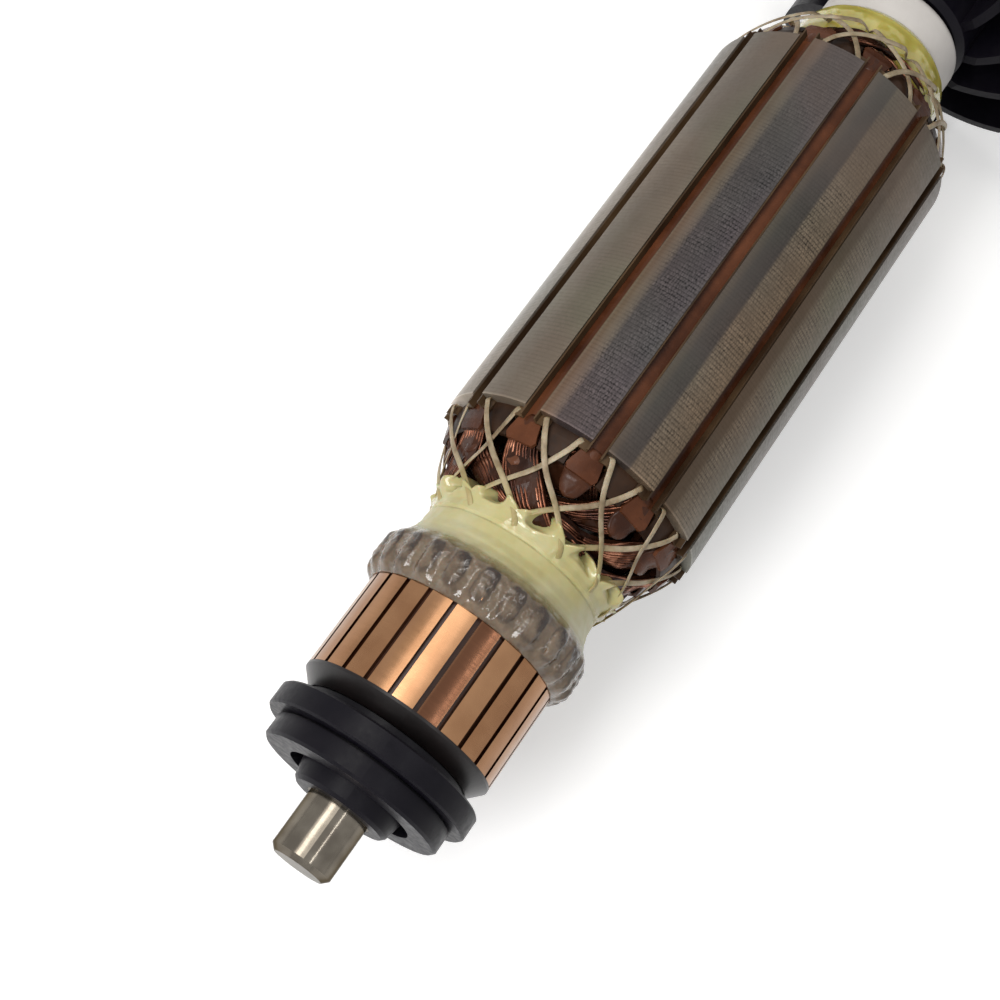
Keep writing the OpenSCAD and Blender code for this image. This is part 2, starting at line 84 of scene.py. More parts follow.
# Sizes that the boxes don't give, as part.scad has them
SLOTS, BARS = 12, 24
LAYERS, SPAN = 6, 5
SLOT_PITCH, BAR_PITCH = 360 / SLOTS, 360 / BARS
BAR_TURN = 1.7
SHEET_T = 0.65
HALF_TOOTH = 2.1
SLOT_TOP, SLOT_FLOOR = CORE_R - 1.15, CORE_R - 8.5
PLATE_T = 1.4
SLEEVE_R = 8.5
COLLAR_R = 11.5
HOOK_X0, HOOK_LEN, HOOK_TOP = RISER_X0 + 1.2, 4.8, TRACK_R + 1.6
WAIST_R = 13.6
TONGUE_LEN, TONGUE_DROOP = 4.3, 0.7

# ---------------------------------------------------------------- materials


def rgb(r, g, b):
    return (r, g, b, 1)


class Surface:
    """A principled material whose nodes read the piece's own coordinates."""

    def __init__(self, name, **sockets):
        self.material = bpy.data.materials.new(name)
        self.material.use_nodes = True
        self.tree = self.material.node_tree
        self.shader = self.tree.nodes["Principled BSDF"]
        for key, value in sockets.items():
            self.shader.inputs[key.replace("_", " ")].default_value = value
        self.place = self.node("ShaderNodeTexCoord").outputs["Object"]

    def node(self, kind, **props):
        made = self.tree.nodes.new(kind)
        for key, value in props.items():
            setattr(made, key, value)
        return made

    def feed(self, node, slots):
        """Give each named socket a link or a plain value."""
        for key, value in slots.items():
            if isinstance(value, bpy.types.NodeSocket):
                self.tree.links.new(value, node.inputs[key])
            else:
                node.inputs[key].default_value = value
        return node

    def set(self, **slots):
        self.feed(self.shader, {key.replace("_", " "): value for key, value in slots.items()})

    def math(self, operation, *values):
        node = self.node("ShaderNodeMath", operation=operation)
        return self.feed(node, dict(enumerate(values))).outputs[0]

    def plus(self, a, b):
        return self.math("ADD", a, b)

    def minus(self, a, b):
        return self.math("SUBTRACT", a, b)

    def times(self, a, b):
        return self.math("MULTIPLY", a, b)

    def over(self, a, b):
        return self.math("DIVIDE", a, b)

    def absolute(self, a):
        return self.math("ABSOLUTE", a)

    def level(self, value, low, high, out_low=0.0, out_high=1.0):
        """out_low up to low, out_high from high on, and straight between them."""
        node = self.node("ShaderNodeMapRange", clamp=True)
        slots = {"Value": value, "From Min": low, "From Max": high, "To Min": out_low, "To Max": out_high}
        return self.feed(node, slots).outputs[0]

    def ramp(self, value, *stops):
        node = self.feed(self.node("ShaderNodeValToRGB"), {0: value})
        while len(node.color_ramp.elements) < len(stops):
            node.color_ramp.elements.new(0.5)
        for element, (place, colour) in zip(node.color_ramp.elements, stops):
            element.position = place
            element.color = rgb(*colour)
        return node.outputs[0]

    def blend(self, factor, a, b, mode="MIX"):
        node = self.node("ShaderNodeMix", data_type="RGBA", blend_type=mode)
        return self.feed(node, {0: factor, 6: a, 7: b}).outputs[2]

    def scale(self, colour, gain):
        """Colour times a number."""
        node = self.node("ShaderNodeVectorMath", operation="SCALE")
        return self.feed(node, {0: colour, "Scale": gain}).outputs[0]

    def noise(self, scale, detail=3.0, rough=0.5, stretch=None):
        place = self.place
        if stretch:
            mapping = self.node("ShaderNodeMapping")
            place = self.feed(mapping, {"Vector": place, "Scale": stretch}).outputs[0]
        slots = {"Vector": place, "Scale": scale, "Detail": detail, "Roughness": rough}
        return self.feed(self.node("ShaderNodeTexNoise"), slots).outputs[0]

    def swing(self, gain, *noise_sizes, **stretch):
        """Noise about zero, times a number."""
        return self.times(self.minus(self.noise(*noise_sizes, **stretch), 0.5), gain)

    def own_value(self, number):
        """A value from 0 to 1 that belongs to a whole number, such as a sheet's or a bar's."""
        node = self.node("ShaderNodeTexWhiteNoise", noise_dimensions="1D")
        return self.feed(node, {"W": number}).outputs["Value"]

    def axes(self):
        return self.feed(self.node("ShaderNodeSeparateXYZ"), {0: self.place}).outputs

    def station(self):
        return self.axes()[0]

    def angle(self):
        """Angle from +Z towards -Y, in degrees, from -180 to 180."""
        _, y, z = self.axes()
        return self.times(self.math("ARCTAN2", self.times(y, -1.0), z), 180 / math.pi)

    def bump(self, height, strength, distance):
        """Bump on top of the bumps that are there."""
        slots = {"Height": height, "Strength": strength, "Distance": distance}
        node = self.feed(self.node("ShaderNodeBump"), slots)
        earlier = self.shader.inputs["Normal"].links
        if earlier:
            self.tree.links.new(earlier[0].from_socket, node.inputs["Normal"])
        self.tree.links.new(node.outputs[0], self.shader.inputs["Normal"])


def steel():
    s = Surface("ground_steel", Metallic=1.0, Specular_Tint=rgb(0.4, 0.38, 0.35))
    lines = s.noise(900, 2, 0.6, stretch=(6, 0.4, 0.4))
    s.set(
        Base_Color=s.ramp(s.noise(260, 3), (0.35, (0.12, 0.105, 0.086)), (0.7, (0.19, 0.17, 0.14))),
        Roughness=s.level(lines, 0.3, 0.7, 0.10, 0.18),
    )
    s.bump(lines, 0.15, 0.00003)
    return s.material


# The core's zones, as angles in degrees and the colour there, which is partly the steel's own blued and
# beige tints and
# partly painted reflection and shade: a painted reflection bright at -83, plain to -29, a beige and a dark
# grainy half of one tooth, the dark half painted darker against the lamp's highlight, then two teeth with
# a dark smooth and a meshed half each
ZONES = [
    (-82.8, (0.40, 0.385, 0.36)),
    (-72.0, (0.21, 0.195, 0.17)),
    (-54.0, (0.15, 0.127, 0.10)),
    (-45.0, (0.13, 0.103, 0.078)),
    (-28.8, (0.145, 0.117, 0.087)),
    (-25.2, (0.105, 0.066, 0.043)),
    (-23.0, (0.120, 0.085, 0.064)),
    (-20.9, (0.100, 0.075, 0.062)),
    (-19.1, (0.050, 0.040, 0.040)),
    (-6.3, (0.043, 0.036, 0.038)),
    (-3.2, (0.066, 0.056, 0.056)),
    (4.5, (0.072, 0.058, 0.046)),
    (7.2, (0.050, 0.043, 0.038)),
    (13.1, (0.042, 0.035, 0.031)),
    (13.9, (0.092, 0.072, 0.052)),
    (25.2, (0.10, 0.075, 0.050)),
    (28.8, (0.060, 0.040, 0.025)),
    (37.8, (0.066, 0.046, 0.029)),
    (40.5, (0.10, 0.078, 0.055)),
    (54.0, (0.12, 0.10, 0.077)),
    (66.6, (0.12, 0.108, 0.097)),
]

# How clearly the sheets' edges and the grains on them show, at angles in degrees
GRIT = [
    (-54.0, (0.16, 0.05)),
    (-22.5, (0.16, 0.05)),
    (-19.3, (0.55, 0.55)),
    (-5.4, (0.60, 0.60)),
    (-3.2, (0.25, 0.10)),
    (5.4, (0.12, 0.05)),
    (13.1, (0.20, 0.15)),
    (13.9, (0.60, 0.45)),
    (25.2, (0.60, 0.45)),
    (28.8, (0.12, 0.05)),
    (37.8, (0.12, 0.05)),
    (40.5, (0.45, 0.35)),
    (48.6, (0.45, 0.35)),
    (54.0, (0.25, 0.10)),
]
PLAIN_STEEL, REAR_STEEL = rgb(0.15, 0.127, 0.10), rgb(0.115, 0.10, 0.088)
GRAIN_PITCH = 0.40
TOOTH_EDGE = 12.2


def front_half(angle):
    """Place of an angle between -90 and 90 degrees, from 0 to 1."""
    return (angle + 90) / 180


def sheet_edges(s, sheet):
    """1 along the middle of each sheet's edge and 0 between the sheets, with a wavering border."""
    off_middle = s.absolute(s.minus(s.math("FRACT", sheet), 0.5))
    return s.level(s.plus(off_middle, s.swing(0.3, 900, 2, 0.6)), 0.22, 0.46, 1.0, 0.0)


def sheet_grains(s, own):
    """Grains along each sheet's edge, about zero, which don't line up from sheet to sheet."""
    arc_per_degree = math.radians(1) * CORE_R
    turns = s.times(s.angle(), 2 * math.pi * arc_per_degree / GRAIN_PITCH)
    turns = s.plus(s.plus(turns, s.times(own, 20.0)), s.times(s.noise(900, 2, 0.5), 14.0))
    return s.plus(s.times(s.math("COSINE", turns), 0.45), s.swing(3.2, 2600, 1, 0.5))


def bright_rims_and_edge_highlight(s):
    """Extra brightness in patches along the teeth's rims, and a painted highlight along the core's front
    edge, where a rounded edge would catch the light.
    """
    from_slot = s.times(s.math("FRACT", s.over(s.angle(), SLOT_PITCH)), SLOT_PITCH)
    from_tooth = s.absolute(s.minus(from_slot, SLOT_PITCH / 2))
    patches = s.level(s.noise(800, 2), 0.4, 0.6, 0.0, 0.5)
    rim = s.times(s.level(from_tooth, TOOTH_EDGE - 0.8, TOOTH_EDGE), patches)
    # The second term is a painted highlight along the core's front edge
    return s.plus(rim, s.level(s.station(), CORE_X0 * MM, (CORE_X0 + 0.45) * MM, 0.8, 0.0))


def laminations():
    """Sheets on edge, in zones around the core that are partly the steel's own tint and partly painted
    reflection and shade, plainer towards the rear and on the far side.
    """
    s = Surface("lamination_edges", Metallic=0.75)
    x, angle = s.station(), s.angle()
    rear = s.level(x, (CORE_X1 - 26) * MM, (CORE_X1 - 10) * MM)
    around = s.level(s.plus(angle, s.swing(1.6, 60, 3, 0.6, stretch=(0.35, 1, 1))), -90, 90)
    # The zones' colours bring in painted reflection and shade over the steel's own tints
    zone = s.ramp(around, *((front_half(a), colour) for a, colour in ZONES))
    zone = s.blend(s.times(rear, 0.35), zone, REAR_STEEL)
    zone = s.blend(s.level(s.absolute(angle), 90, 108), zone, PLAIN_STEEL)
    hue = s.ramp(
        s.noise(75, 2, 0.5, stretch=(0.6, 1, 1)),
        (0.35, (1.06, 0.99, 0.95)),
        (0.5, (1, 1, 1)),
        (0.65, (0.93, 1.02, 0.97)),
    )

    grit = s.ramp(around, *((front_half(a), (*strengths, 0)) for a, strengths in GRIT))
    line_strength, grain_strength, _ = s.feed(s.node("ShaderNodeSeparateColor"), {0: grit}).outputs
    patches = s.level(s.noise(230, 3, 0.6), 0.36, 0.62, 0.35, 1.2)
    patches = s.times(patches, s.minus(1.0, s.times(rear, 0.75)))
    sheet = s.over(x, SHEET_T * MM)
    own = s.own_value(s.math("FLOOR", sheet))
    edges = sheet_edges(s, sheet)
    lines = s.plus(s.minus(edges, 0.68), s.times(own, 0.3))
    lines = s.times(s.times(lines, line_strength), patches)
    grains = s.times(s.times(sheet_grains(s, own), grain_strength), patches)
    gain = 1.0
    for part in (lines, grains, s.swing(0.5, 110, 3, 0.6), bright_rims_and_edge_highlight(s)):
        gain = s.plus(gain, part)
    s.set(
        Base_Color=s.blend(1.0, s.scale(zone, gain), hue, "MULTIPLY"),
        Roughness=s.level(s.noise(1500, 2, 0.6), 0.3, 0.7, 0.40, 0.56),
    )
    s.bump(s.times(edges, line_strength), 0.3, 0.00008)
    return s.material


def copper_bars():
    """Turned copper whose brightness changes from bar to bar, partly its own tone and partly painted
    reflection, with a painted dark reflection on the bar next to the slot at 0.
    """
    s = Surface("turned_copper", Metallic=1.0)
    lines = s.noise(500, 3, 0.7, stretch=(8, 0.3, 0.3))
    bar = s.math("FLOOR", s.over(s.minus(s.angle(), BAR_TURN), BAR_PITCH))
    tint = s.plus(s.times(s.own_value(s.plus(bar, 31.0)), 0.35), s.times(s.noise(220, 3), 0.6))
    copper = s.ramp(
        tint,
        (0.25, (0.25, 0.125, 0.062)),
        (0.5, (0.31, 0.165, 0.085)),
        (0.75, (0.37, 0.205, 0.108)),
    )
    # Painted dark reflection on the bar next to the slot at 0, where the bars would mirror something dark
    dark = s.level(s.absolute(s.minus(s.angle(), BAR_TURN + BAR_PITCH / 2)), 5.0, 8.5, 0.85, 0.0)
    s.set(
        Base_Color=s.blend(dark, copper, rgb(0.085, 0.034, 0.02)),
        Roughness=s.level(lines, 0.3, 0.7, 0.16, 0.26),
    )
    s.bump(lines, 0.15, 0.00003)
    return s.material


def moulding(name, dark, light, rough=0.40, grain=900, bump=0.25, shine=0.11):
    """Matt surface with clouds between two colours and a fine grain."""
    s = Surface(name, Specular_IOR_Level=shine)
    fine = s.noise(grain, 3, 0.6)
    s.set(
        Base_Color=s.ramp(s.noise(grain / 8, 4, 0.6), (0.35, dark), (0.7, light)),
        Roughness=s.level(fine, 0.3, 0.7, rough - 0.08, rough + 0.08),
    )
    s.bump(fine, bump, 0.00006)
    return s.material


def commutator_moulding():
    """Black end ring, brown between the bars."""
    s = Surface("brown_phenolic", Specular_IOR_Level=0.28, Roughness=0.32)
    cloud = s.noise(110, 4, 0.6)
    ring = s.ramp(cloud, (0.35, (0.004, 0.003, 0.003)), (0.7, (0.010, 0.007, 0.007)))
    between = s.ramp(cloud, (0.35, (0.024, 0.008, 0.004)), (0.7, (0.040, 0.014, 0.008)))
    behind = s.level(s.station(), (BARS_X0 - 0.1) * MM, (BARS_X0 + 0.1) * MM)
    s.set(Base_Color=s.blend(behind, ring, between))
    s.bump(s.noise(900, 3, 0.6), 0.25, 0.00006)
    return s.material


def resin(name, stops, rough, **sockets):
    """Cast resin: cloudy colour, smooth lumps, glossy skin."""
    s = Surface(name, Subsurface_Scale=0.002, **sockets)
    s.set(
        Base_Color=s.ramp(s.noise(160, 3, 0.55), *stops),
        Roughness=s.level(s.noise(400, 2), 0.35, 0.65, rough * 0.7, rough * 1.6),
    )
    s.bump(s.noise(320, 3, 0.5), 0.35, 0.0003)
    return s


def wire():
    """Enamelled copper, dark where the varnish lies on it."""
    s = Surface("enamelled_wire", Metallic=0.9, Coat_Weight=0.06, Coat_Roughness=0.08)
    colour = s.ramp(
        s.noise(240, 3, 0.6),
        (0.40, (0.035, 0.012, 0.007)),
        (0.54, (0.14, 0.050, 0.026)),
        (0.66, (0.42, 0.19, 0.115)),
    )
    s.set(Base_Color=colour, Roughness=s.level(s.noise(900, 2), 0.3, 0.7, 0.18, 0.40))
    s.bump(s.noise(1400, 2), 0.3, 0.0001)
    return s.material


def cord():
    """Woven tape, soaked yellow towards the resin."""
    s = Surface("lacing_cord", Subsurface_Weight=0.1, Subsurface_Scale=0.001, Specular_IOR_Level=0.4)
    weave = s.noise(2600, 2, 0.6)
    clean = s.ramp(
        s.noise(300, 3, 0.6),
        (0.33, (0.17, 0.12, 0.065)),
        (0.5, (0.31, 0.245, 0.155)),
        (0.7, (0.45, 0.375, 0.265)),
    )
    soaked = s.level(s.station(), (NECK_X1 + 1.0) * MM, (NECK_X1 + 5.0) * MM, 0.75, 0.0)
    s.set(
        Base_Color=s.blend(soaked, clean, rgb(0.38, 0.31, 0.12)),
        Roughness=s.level(weave, 0.3, 0.7, 0.4, 0.65),
    )
    s.bump(weave, 0.5, 0.0002)
    return s.material


def riser_colours(s):
    """Put greyish resin over the risers on a cream one, with painted shade round each hook and over its
    rear, in a colour that is partly the hooks' own dark metal.
    """
    x = s.station()
    wander = s.swing(1.0, 500, 3, 0.6)
    side = s.minus(s.math("FRACT", s.over(s.minus(s.angle(), BAR_TURN), BAR_PITCH)), 0.5)
    along = s.over(s.minus(x, (HOOK_X0 + HOOK_LEN / 2) * MM), HOOK_LEN / 2 * MM)
    ring = s.math("POWER", s.over(s.absolute(side), 0.30), 3.0)
    ring = s.plus(ring, s.math("POWER", s.absolute(along), 3.0))
    ring = s.plus(ring, s.times(wander, 1.4))
    # Painted shade: a dark outline round each hook and a dark patch over its rear, where the gaps and the
    # wrapped wire lie in shadow
    edge = s.times(s.level(ring, 0.3, 0.8, 0.0, 0.55), s.level(ring, 1.0, 1.6, 1.0, 0.0))
    rear = s.plus(along, s.plus(s.times(side, 1.6), s.times(wander, 2.5)))
    rear_shade = s.times(s.level(rear, -0.1, 0.6), s.level(ring, 0.9, 1.4, 1.0, 0.0))
    grey = s.ramp(s.noise(350, 3, 0.6), (0.3, (0.085, 0.056, 0.032)), (0.7, (0.20, 0.145, 0.095)))
    hook_metal_and_shade = s.ramp(s.noise(420, 3, 0.6), (0.35, (0.018, 0.009, 0.005)), (0.65, (0.055, 0.034, 0.021)))
    risers = s.blend(s.math("MAXIMUM", edge, rear_shade), grey, hook_metal_and_shade)

    waist_x = mix(COMM_X1, NECK_X1, 0.6)
    cream = s.shader.inputs["Base Color"].links[0].from_socket
    cream = s.blend(s.level(x, COMM_X1 * MM, waist_x * MM, 0.45, 0.0), cream, rgb(0.50, 0.47, 0.31))
    border = s.plus(x, s.times(wander, 1.2 * MM))
    neck = s.level(border, (COMM_X1 - 1.0) * MM, (COMM_X1 + 1.4) * MM)
    skirt = s.level(x, (NECK_X1 - 2.0) * MM, (NECK_X1 - 0.5) * MM)
    matt = s.times(s.times(neck, s.minus(1.0, skirt)), 0.26)
    s.set(
        Base_Color=s.blend(neck, risers, cream),
        Roughness=s.plus(s.level(s.noise(400, 2), 0.35, 0.65, 0.09, 0.16), matt),
    )
    s.bump(s.times(s.noise(900, 2, 0.5), s.minus(1.0, neck)), 0.4, 0.0003)


def give(material, *names):
    for name in names:
        materials = nodes[name].data.materials
        materials.clear()
        materials.append(material)


black = moulding("black_moulding", (0.003, 0.0025, 0.005), (0.008, 0.007, 0.010))
fibre = moulding("brown_fibre", (0.012, 0.006, 0.0035), (0.045, 0.022, 0.012), grain=1600, shine=0.10)
white = moulding("white_moulding", (0.62, 0.59, 0.56), (0.70, 0.67, 0.64), shine=0.3)
liner = moulding("liner_paper", (0.03, 0.016, 0.008), (0.10, 0.060, 0.030), grain=500, shine=0.15)
wedge = moulding(
    "wedge_fibre",
    (0.040, 0.012, 0.005),
    (0.125, 0.043, 0.019),
    rough=0.24,
    grain=700,
    bump=0.7,
)
flap = moulding(
    "varnished_paper",
    (0.035, 0.011, 0.005),
    (0.130, 0.047, 0.022),
    rough=0.24,
    grain=800,
    bump=0.8,
    shine=0.14,
)
varnish = moulding(
    "varnished_coil",
    (0.018, 0.006, 0.003),
    (0.070, 0.025, 0.012),
    rough=0.24,
    grain=900,
    bump=1.0,
    shine=0.12,
)
give(steel(), "shaft")
give(black, "dust_seal", "fan")
give(commutator_moulding(), "commutator_body")
give(copper_bars(), *numbered("commutator_bar", BARS))
give(laminations(), "core_stack")
give(fibre, "front_end_plate", "rear_end_plate")
give(white, "shaft_sleeve")
give(liner, "slot_liners")
give(wedge, *numbered("slot_wedge", SLOTS))
give(varnish, *numbered("coil", SLOTS))

# ---------------------------------------------------------------- meshes


def piece(name, points, faces, material, slot):
    mesh = bpy.data.meshes.new(name)
    mesh.from_pydata([tuple(p) for p in points], [], faces)
    mesh.validate()
    for polygon in mesh.polygons:
        polygon.use_smooth = True
    mesh.materials.append(material)
    made = bpy.data.objects.new(name, mesh)
    bpy.context.scene.collection.objects.link(made)
    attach(made, "root")
    return made


class Tubes:
    """Many tubes in one mesh, each with an elliptic section."""

    def __init__(self, sides):
        self.points, self.faces, self.sides = [], [], sides

    def add(self, path, wide, thick):
        """wide lies along the surface and thick away from the X axis: half sizes in millimetres."""
        n, m, first = len(path), self.sides, len(self.points)
        for i, p in enumerate(path):
            t = (path[min(i + 1, n - 1)] - path[max(i - 1, 0)]).normalized()
            out = Vector((0, p.y, p.z)).normalized()
            across = t.cross(out).normalized()
            lift = across.cross(t)
            for j in range(m):
                a = 2 * math.pi * j / m
                aside, above = math.cos(a) * wide * MM, math.sin(a) * thick * MM
                self.points.append(p + across * aside + lift * above)
        for i in range(n - 1):
            for j in range(m):
                a, b = first + i * m + j, first + i * m + (j + 1) % m
                self.faces.append((a, b, b + m, a + m))
        self.faces.append(tuple(first + j for j in reversed(range(m))))
        self.faces.append(tuple(first + (n - 1) * m + j for j in range(m)))


def catmull_rom(a, b, c, d, u):
    """Way u from b to c on the curve through four values."""
    square, cube = 2 * a - 5 * b + 4 * c - d, 3 * b - a - 3 * c + d
    return 0.5 * (2 * b + (c - a) * u + square * u * u + cube * u ** 3)


def curve_through(stops, count):
    """Points on the smooth curve through stops, each a tuple of numbers."""
    out, last = [], len(stops) - 1
    for i in range(count):
        t = i / (count - 1) * last
        k = min(int(t), last - 1)
        near = [stops[max(0, min(last, k + step))] for step in (-1, 0, 1, 2)]
        out.append([catmull_rom(*values, t - k) for values in zip(*near)])
    return out


def interpolate(stops, x):
    """Value at x of a line through (x, value) stops, half eased at each stop."""
    if x <= stops[0][0]:
        return stops[0][1]
    for (x0, r0), (x1, r1) in zip(stops, stops[1:]):
        if x <= x1:
            t = (x - x0) / (x1 - x0)
            return mix(r0, r1, 0.5 * smooth(t) + 0.5 * t)
    return stops[-1][1]


def end_height(face):
    """Height of an end winding over the core: face is 1 at the rear and -1 at the front."""
    return REAR_H if face > 0 else FRONT_H


def over_core(face, h, r, angle):
    """Point at height h over the core's rear or front face."""
    return at(CORE_X1 + h if face > 0 else CORE_X0 - h, r, angle)


# ---------------------------------------------------------------- winding

# Slot filling and end turns, as part.scad has them
COIL_TOP, COIL_FLOOR = SLOT_TOP - 0.85, SLOT_FLOOR + 0.45
COIL_MID = mix(COIL_FLOOR, COIL_TOP, 0.52)
SIDE_GAP, SIDE_INSET = 0.15, 0.4
SIN_HALF, COS_HALF = math.sin(math.radians(SLOT_PITCH / 2)), math.cos(math.radians(SLOT_PITCH / 2))
FLOOR_Y = (SLOT_FLOOR - HALF_TOOTH) / (1 - SIN_HALF)
TURN_START = PLATE_T + 0.1
CROWN_R = SLEEVE_R + 2.4
OUTER_R = CORE_R - 3.45
HALF_SPAN = SPAN * SLOT_PITCH / 2
LAYER_FILL = 0.42

WIRE_R, WIRES = 0.21, 11
STRAND_STEPS = 24


def shell_size(f, height):
    """Width and height of the shell after f layers."""
    return mix(SLOT_FLOOR + 0.8, OUTER_R, f / LAYERS) - CROWN_R, mix(0.9, height - TURN_START, f / LAYERS)


def shell_arc(f, height):
    return math.pi / 2 * math.hypot(*shell_size(f, height)) / math.sqrt(2)


def shell_point(f, u, height):
    """Radius and height at the way u along a shell: 0 at the core, 1 where the crown's flat begins."""
    width, tall = shell_size(f, height)
    if u > 1:
        return CROWN_R - (u - 1) * shell_arc(f, height), TURN_START + tall
    a = math.pi / 2 * u
    return CROWN_R + width * math.cos(a), TURN_START + tall * math.sin(a)


def ribbon_half(layer, s):
    return mix(2.4, 1.2 + 0.22 * layer, smooth(1.6 * s))


def turn_line(layer, height, s):
    """Way along the shell and turn from the slot, from the slot (s = 0) to mid-span (s = 1)."""
    middle_r = SLEEVE_R + 0.4 + ribbon_half(layer, 1)
    last = 1 + (CROWN_R - middle_r) / shell_arc(layer + 0.5, height)
    return last * min(1, s / 0.66), HALF_SPAN * s ** (2.3 - 0.13 * layer)


def slot_corner(outer, q):
    """Radius and turn of a place in a coil side, in the outer or the inner half of the slot."""
    if outer:
        middle, half = (COIL_MID + COIL_TOP + SIDE_GAP) / 2, (COIL_TOP - COIL_MID - SIDE_GAP) / 2
    else:
        middle, half = (COIL_MID + COIL_FLOOR - SIDE_GAP) / 2, (COIL_MID - COIL_FLOOR - SIDE_GAP) / 2
    r = middle + q[0] * half
    width = (max(r, FLOOR_Y) * SIN_HALF - HALF_TOOTH - SIDE_INSET) / COS_HALF
    return r, math.degrees(math.atan(q[1] * width / r))


def turn_corner(layer, outer, height, s, q, lift):
    """Radius, turn and height of a place q in the bundle's section, raised by lift layers."""
    arc = shell_arc(layer + 0.5, height)
    line, ahead = turn_line(layer, height, s), turn_line(layer, height, s + 0.01)
    middle_r = shell_point(layer + 0.5, line[0], height)[0]
    run = (ahead[0] - line[0]) * arc, math.radians(ahead[1] - line[1]) * middle_r
    half = ribbon_half(layer, s) * q[1] / math.hypot(*run)
    u = max(0, line[0] - half * run[1] / arc)
    r, h = shell_point(layer + 0.5 + LAYER_FILL * q[0] + lift, u, height)
    turn = line[1] + math.degrees(half * run[0] / r)
    slot_r, slot_turn = slot_corner(outer, q)
    leaving = mix(0.8, 0.34, layer / (LAYERS - 1))
    return mix(slot_r, r, smooth(u / leaving)), mix(slot_turn, turn, smooth(s / 0.36)), h


def half_strand(coil, face, side, across, seed):
    """One wire from its slot to mid-span, lying on the bundle and sinking into it in patches."""
    layer, slot = coil % LAYERS, coil if side > 0 else coil + SPAN
    outer = layer == LAYERS - 1 if side > 0 else layer > 0
    path = []
    for i in range(STRAND_STEPS + 1):
        s = mix(0.03, 1, i / STRAND_STEPS)
        wander = noise.noise(Vector((seed * 7.1, side * s * 3 + 5, coil * 1.7)))
        q1 = side * face * across + 0.05 * wander
        q0 = 1 - max(0, abs(q1) - 0.5) if abs(q1) < 1 else 0.5
        patch = noise.noise(Vector((coil * 4.3 + 0.7 * q1, side * s * 3.4 + 9, 3.1 * face)))
        lift = 0.04 + 0.04 * noise.noise(Vector((seed * 3.3, side * s * 2, coil)))
        lift += 1.1 * min(0, patch - 0.02)
        r, turn, h = turn_corner(layer, outer, end_height(face), s, (q0, q1), lift)
        path.append(over_core(face, h, r, slot * SLOT_PITCH + side * turn))
    return path


def strand(coil, face, across, seed):
    """One wire of a coil's end turn, from slot to slot."""
    there = half_strand(coil, face, 1, across, seed)
    back = half_strand(coil, face, -1, across, seed)
    return there + back[-2::-1]


enamel = wire()
for label, face in (("front", -1), ("rear", 1)):
    wires = Tubes(6)
    for coil in range(SLOTS):
        for k in range(WIRES):
            across = 0.98 * (2 * k / (WIRES - 1) - 1)
            wires.add(strand(coil, face, across, k + 20 * coil), WIRE_R, WIRE_R)
    piece(f"winding_wires_{label}", wires.points, wires.faces, enamel, "enamelled_copper")

# ---------------------------------------------------------------- slot paper over the coils

FLAP_T = 0.25
FLAP_ROWS, FLAP_COLUMNS = 16, 10


def flap_point(slot, face, t, v, under):
    """Place at t along a flap (0 at the core, 1 at its tip) and v across it (-1 to 1)."""
    height = end_height(face)
    h = mix(0.3, 0.56 * height, t)
    seed = Vector((slot * 2.9, face * 5.0, 0))
    round_end = math.sqrt(max(0, 1 - max(0, (t - 0.55) / 0.45) ** 2.5))
    half = mix(4.9, 7.0, smooth(h / TONGUE_LEN)) * round_end
    half *= 1 + 0.18 * noise.noise(seed + Vector((v, t * 3, 2)))
    turn = v * half + 1.5 * t * noise.noise(seed)
    way = max(0, h - TURN_START) / (height - TURN_START)
    coils = CROWN_R + (OUTER_R - CROWN_R) * math.sqrt(max(0, 1 - way ** 2)) + 0.3
    tongue = SLOT_TOP - 0.2 - TONGUE_DROOP * (h / TONGUE_LEN) ** 2
    r = mix(tongue, coils, smooth((h - 0.75 * TONGUE_LEN) / (0.4 * TONGUE_LEN)))
    r += 0.16 * noise.noise(seed + Vector((turn * 0.25, h * 0.6, 7))) - 0.3 * v * v
    return over_core(face, h, r - (FLAP_T if under else 0), slot * SLOT_PITCH + turn)


def flaps(face):
    """The flaps of all slots: an upper and a lower sheet each, joined round their rim."""
    points, faces = [], []
    rows, columns = FLAP_ROWS, FLAP_COLUMNS
    line = columns + 1
    sheet = (rows + 1) * line
    left = [i * line for i in range(rows + 1)]
    tip = [rows * line + j for j in range(1, line)]
    right = [i * line + columns for i in range(rows - 1, -1, -1)]
    root = list(range(columns - 1, 0, -1))
    rim = left + tip + right + root
    for slot in range(SLOTS):
        for under in (False, True):
            first = len(points)
            for i in range(rows + 1):
                for j in range(line):
                    points.append(flap_point(slot, face, i / rows, 2 * j / columns - 1, under))
            for i in range(rows):
                for j in range(columns):
                    a = first + i * line + j
                    faces.append((a, a + 1, a + line + 1, a + line))
        low = len(points) - sheet
        top = low - sheet
        for a, b in zip(rim, rim[1:] + rim[:1]):
            faces.append((top + a, top + b, low + b, low + a))
    return points, faces


for label, face in (("front", -1), ("rear", 1)):
    piece(f"liner_flaps_{label}", *flaps(face), flap, "insulating_paper")

# ---------------------------------------------------------------- lacing

# Route of one cord: turn from its slot in degrees, and height over the core for the front winding
ROUTE = [
    (6, -0.3),
    (7.4, 0.8),
    (10, 2.7),
    (14.2, 4.8),
    (20, 6.7),
    (30, 8.9),
    (40, 11.1),
    (45, 12.4),
    (49, 14),
]
ROUTE_HEIGHT = 12.4
CORD_STEPS = 48
CORD_HALF_W, CORD_HALF_T = 0.40, 0.13
CROWN_DROP = 5.7


def dome_r(h, height):
    """Radius of the lacing's dome at height h over the core, as the solids have it."""
    return CORE_R - 0.1 - CROWN_DROP * (max(0, h) / (height + 0.5)) ** 1.75


